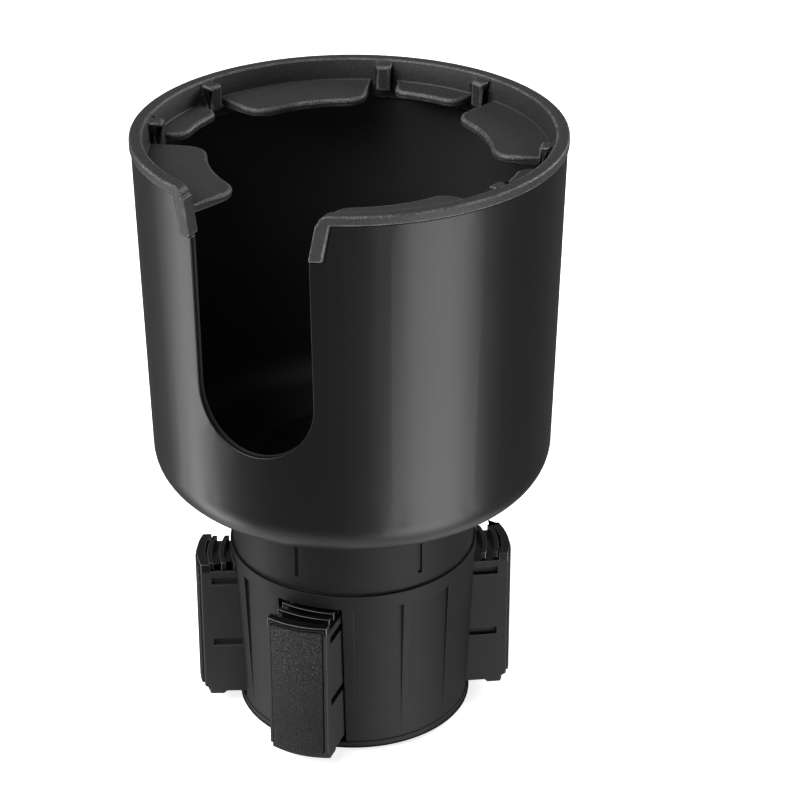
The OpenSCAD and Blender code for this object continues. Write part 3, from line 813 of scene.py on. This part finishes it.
@dataclass
class Screws:
    """Screws of one kind, with a thread round each shank.

    The shank is turned down to the thread's root, so the thread's crest lies where
    the plain shank's wall was. The thread starts above the tip and ends below the
    head, and its foot is sunk a little into the shank.
    """

    shop: Workshop
    node: str
    shank_r: float = 1.4
    thread_d: float = 0.3
    pitch: float = 1.1
    tip_l: float = 0.4
    neck_l: float = 1.0
    sunk: float = 0.05
    foot_share: float = 0.38
    sides: int = 20

    def islands(self, mesh: bmesh.types.BMesh) -> list[list[bmesh.types.BMVert]]:
        """Sorts a mesh's points into the screws that they belong to.

        Args:
            mesh: The screws.

        Returns:
            The points of each screw.
        """
        loose = set(mesh.verts)
        found = []
        for seed in mesh.verts:
            if seed not in loose:
                continue
            loose.remove(seed)
            screw = [seed]
            for vert in screw:
                near = {line.other_vert(vert) for line in vert.link_edges} & loose
                loose -= near
                screw.extend(near)
            found.append(screw)
        return found

    def turn_down(self, screw: list[bmesh.types.BMVert], axis: Vector) -> tuple[float, float]:
        """Brings a plain shank down to the thread's root.

        Args:
            screw: The screw's points.
            axis: A point on its axis.

        Returns:
            Lowest and highest end of the shank, in metres.
        """
        root = 1.0 - self.thread_d / self.shank_r
        ends = []
        for vert in screw:
            arm = (vert.co - axis).xy
            if abs(arm.length - self.shank_r * MM) < self.sunk * MM:
                vert.co.x = axis.x + arm.x * root
                vert.co.y = axis.y + arm.y * root
                ends.append(vert.co.z)
        return min(ends), max(ends)

    def wind(self, mesh: bmesh.types.BMesh, axis: Vector, low: float, high: float) -> None:
        """Winds the thread, which fades out at both ends and has a sharp crest.

        Args:
            mesh: The screws, added to.
            axis: A point on the screw's axis.
            low: Where the thread starts, in metres.
            high: Where it ends, in metres.
        """
        foot = (self.shank_r - self.thread_d - self.sunk) * MM
        flank = self.pitch * self.foot_share * MM
        count = round((high - low) / (self.pitch * MM) * self.sides)
        half_turn = self.sides / 2.0
        rows = []
        for step in range(count + 1):
            turn = step * math.tau / self.sides
            fade = min(1.0, step / half_turn, (count - step) / half_turn)
            z = low + (high - low) * step / count
            crest = foot + (self.thread_d * fade + self.sunk) * MM
            row = [
                mesh.verts.new((axis.x + math.cos(turn) * r, axis.y + math.sin(turn) * r, z + rise))
                for r, rise in ((foot, -flank), (crest, 0.0), (foot, flank))
            ]
            rows.append(row)
        faces = [mesh.faces.new(rows[0]), mesh.faces.new(rows[-1])]
        for now, then in zip(rows, rows[1:]):
            for k in range(len(now)):
                faces.append(mesh.faces.new((now[k], now[k - 1], then[k - 1], then[k])))
        bmesh.ops.recalc_face_normals(mesh, faces=faces)
        crests = [row[1] for row in rows]
        for now, then in zip(crests, crests[1:]):
            mesh.edges.get((now, then)).smooth = False

    def build(self) -> None:
        """Makes the threaded screws and puts them in the plain ones' place."""
        mesh = self.shop.raw(self.node)
        for screw in self.islands(mesh):
            xs = [vert.co.x for vert in screw]
            ys = [vert.co.y for vert in screw]
            zs = [vert.co.z for vert in screw]
            axis = Vector(((min(xs) + max(xs)) / 2, (min(ys) + max(ys)) / 2, 0.0))
            low, high = self.turn_down(screw, axis)
            head_on_top = max(zs) - high > low - min(zs)
            room_low, room_high = (self.tip_l, self.neck_l) if head_on_top else (self.neck_l, self.tip_l)
            self.wind(mesh, axis, low + room_low * MM, high - room_high * MM)
        self.shop.stand_in(self.node, mesh)


@dataclass
class Cup:
    """The cup's shell with the pad on its floor and its screws."""

    shop: Workshop
    wall_edge: Edge = Edge.MOULDED
    wall_steps: int = 3
    screw_pitch: float = 1.1

    def shell(self) -> None:
        """Rounds the slot's and the lip's edges."""
        self.shop.rounded("cup_shell", self.wall_edge, self.wall_steps)

    def floor(self) -> None:
        """Dresses the pad and makes the screws under it."""
        self.shop.keep("floor_pad")
        Screws(self.shop, "cup_screws", pitch=self.screw_pitch).build()

    def build(self) -> None:
        """Builds the cup."""
        self.shell()
        self.floor()


@dataclass
class Rim:
    """The rubber rim: its flaps, inside flap_r, are plumper than its skirts."""

    shop: Workshop
    flap_r: float = 49.5
    flap_edge: Edge = Edge.PLUMP
    flap_steps: int = 4
    rim_edge: Edge = Edge.SOFT
    rim_steps: int = 3

    def build(self) -> None:
        """Rounds the flaps' edges, then the others."""
        mesh = self.shop.raw("rim_ring")
        self.shop.soften(mesh, self.flap_edge, self.flap_steps, self.flap_r)
        self.shop.soften(mesh, self.rim_edge, self.rim_steps)
        self.shop.stand_in("rim_ring", mesh)


@dataclass
class Drive:
    """The turning neck with the scroll, and the spindle that they turn on."""

    shop: Workshop
    neck_edge: Edge = Edge.CRISP
    steel_edge: Edge = Edge.CRISP
    screw_pitch: float = 1.1

    def neck(self) -> None:
        """Rounds the neck's edges and its notches."""
        self.shop.rounded("neck", self.neck_edge)

    def scroll(self) -> None:
        """Dresses the scroll and makes its screws."""
        self.shop.keep("scroll_plate")
        Screws(self.shop, "scroll_screws", pitch=self.screw_pitch).build()

    def bearing(self) -> None:
        """Rounds the spindle and its nut, and dresses the washers and the glide ring."""
        for node in ("spindle", "spindle_nut"):
            self.shop.rounded(node, self.steel_edge)
        for node in ("spindle_washer", "thrust_washer", "glide_ring"):
            self.shop.keep(node)

    def build(self) -> None:
        """Builds the drive."""
        self.neck()
        self.scroll()
        self.bearing()


@dataclass
class Base:
    """The sleeve on its bottom plate, with the rubber foot."""

    shop: Workshop
    sleeve_edge: Edge = Edge.CRISP
    plate_edge: Edge = Edge.MOULDED
    screw_pitch: float = 1.1

    def sleeve(self) -> None:
        """Rounds the windows' and the panels' edges."""
        self.shop.rounded("sleeve", self.sleeve_edge)

    def foot(self) -> None:
        """Rounds the plate, and makes or dresses what is under it."""
        self.shop.rounded("bottom_plate", self.plate_edge)
        Screws(self.shop, "foot_screws", pitch=self.screw_pitch).build()
        self.shop.keep("foot_pad")

    def build(self) -> None:
        """Builds the base."""
        self.sleeve()
        self.foot()


@dataclass
class Leg:
    """One toothed leg with its grip pad."""

    shop: Workshop
    side: str
    leg_edge: Edge = Edge.CRISP
    pad_edge: Edge = Edge.CRISP

    def build(self) -> None:
        """Rounds the leg and the pad."""
        self.shop.rounded(f"leg_{self.side}", self.leg_edge)
        self.shop.rounded(f"grip_{self.side}", self.pad_edge)


# Stage


@dataclass(frozen=True)
class SoftLight:
    """A glowing card; the satin wall mirrors a tall one as a streak.

    The angles are in degrees and the power is in watts.
    """

    name: str
    azimuth: float
    elevation: float
    reach: float
    width: float
    height: float
    power: float


@dataclass
class Studio:
    """Pale floor, soft light and the photo's viewpoint."""

    target: Point = (12.5, 0.0, 89.4)
    distance: float = 670.0
    elevation: float = 27.5
    focal_px: float = 2564.0
    frame_px: float = 800.0
    sensor_mm: float = 36.0
    near_clip: float = 0.01
    floor_size: float = 6000.0
    floor_tint: Colour = (0.88, 0.88, 0.88)
    floor_glow: float = 0.8
    sky: float = 0.14
    lights: tuple[SoftLight, ...] = (
        SoftLight(
            "left strip", azimuth=-95.0, elevation=-27.5, reach=600.0,
            width=180.0, height=620.0, power=2.0,
        ),
        SoftLight(
            "right strip", azimuth=47.0, elevation=-27.5, reach=600.0,
            width=400.0, height=620.0, power=4.2,
        ),
        SoftLight(
            "key card", azimuth=-60.0, elevation=50.0, reach=1600.0,
            width=1400.0, height=1400.0, power=42.0,
        ),
        SoftLight(
            "ground card", azimuth=0.0, elevation=-90.0, reach=700.0,
            width=900.0, height=900.0, power=2.0,
        ),
        SoftLight(
            "rim card", azimuth=122.0, elevation=26.0, reach=900.0,
            width=320.0, height=320.0, power=5.0,
        ),
    )

    def camera(self) -> None:
        """Stands the camera where the photo was taken."""
        tilt = math.radians(self.elevation)
        lens = bpy.data.cameras.new("viewpoint")
        lens.sensor_width = self.sensor_mm
        lens.lens = self.focal_px / self.frame_px * self.sensor_mm
        lens.clip_start = self.near_clip
        seer = bpy.data.objects.new("viewpoint", lens)
        back = Vector((0.0, -math.cos(tilt), math.sin(tilt))) * self.distance
        seer.location = (Vector(self.target) + back) * MM
        seer.rotation_euler = (math.pi / 2 - tilt, 0.0, 0.0)
        bpy.context.scene.collection.objects.link(seer)
        bpy.context.scene.camera = seer

    def floor(self) -> None:
        """Lays the floor.

        Nothing mirrors it, the lights under it shine through, and it glows, which
        keeps the part's shadow faint.
        """
        half = self.floor_size * MM / 2
        corners = [(-half, -half, 0), (half, -half, 0), (half, half, 0), (-half, half, 0)]
        mesh = bpy.data.meshes.new("floor")
        mesh.from_pydata(corners, [], [(0, 1, 2, 3)])
        thing = bpy.data.objects.new("floor", mesh)
        bpy.context.scene.collection.objects.link(thing)
        thing.visible_glossy = False
        thing.visible_shadow = False
        g = Graph("floor_card")
        mesh.materials.append(g.finish({
            "Base Color": g.mottle(g.noise(60.0), self.floor_tint, 0.01),
            "Roughness": 0.9,
            "Specular IOR Level": 0.1,
            "Emission Color": (1.0, 1.0, 1.0),
            "Emission Strength": self.floor_glow,
        }))

    def stand(self, light: SoftLight) -> None:
        """Stands one soft light that faces the part's middle.

        Args:
            light: The light.
        """
        data = bpy.data.lights.new(light.name, "AREA")
        data.shape = "RECTANGLE"
        data.size = light.width * MM
        data.size_y = light.height * MM
        data.energy = light.power
        lamp = bpy.data.objects.new(light.name, data)
        turn = math.radians(light.azimuth - 90.0)
        lift = math.radians(light.elevation)
        away = Vector((math.cos(turn) * math.cos(lift), math.sin(turn) * math.cos(lift), math.sin(lift)))
        lamp.location = (Vector((0.0, 0.0, self.target[2])) + away * light.reach) * MM
        lamp.rotation_euler = (-away).to_track_quat("-Z", "Y").to_euler()
        bpy.context.scene.collection.objects.link(lamp)

    def light(self) -> None:
        """Sets the sky and the soft lights."""
        world = bpy.data.worlds.new("studio")
        world.use_nodes = True
        sky = world.node_tree.nodes["Background"]
        sky.inputs["Color"].default_value = (1.0, 1.0, 1.0, 1.0)
        sky.inputs["Strength"].default_value = self.sky
        bpy.context.scene.world = world
        bpy.context.scene.view_settings.view_transform = "Standard"
        for light in self.lights:
            self.stand(light)

    def build(self) -> None:
        """Sets the whole stage."""
        self.camera()
        self.floor()
        self.light()


def main() -> None:
    """Builds the expander and its stage."""
    logging.basicConfig(level=logging.INFO, format="%(message)s")
    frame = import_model()
    Studio().build()
    shop = Workshop(frame)
    pieces = [Cup(shop), Rim(shop), Drive(shop), Base(shop)]
    pieces += [Leg(shop, side) for side in ("front", "right", "back", "left")]
    for piece in pieces:
        piece.build()
        LOG.info("%s is built", type(piece).__name__)


if __name__ == "__main__":
    main()
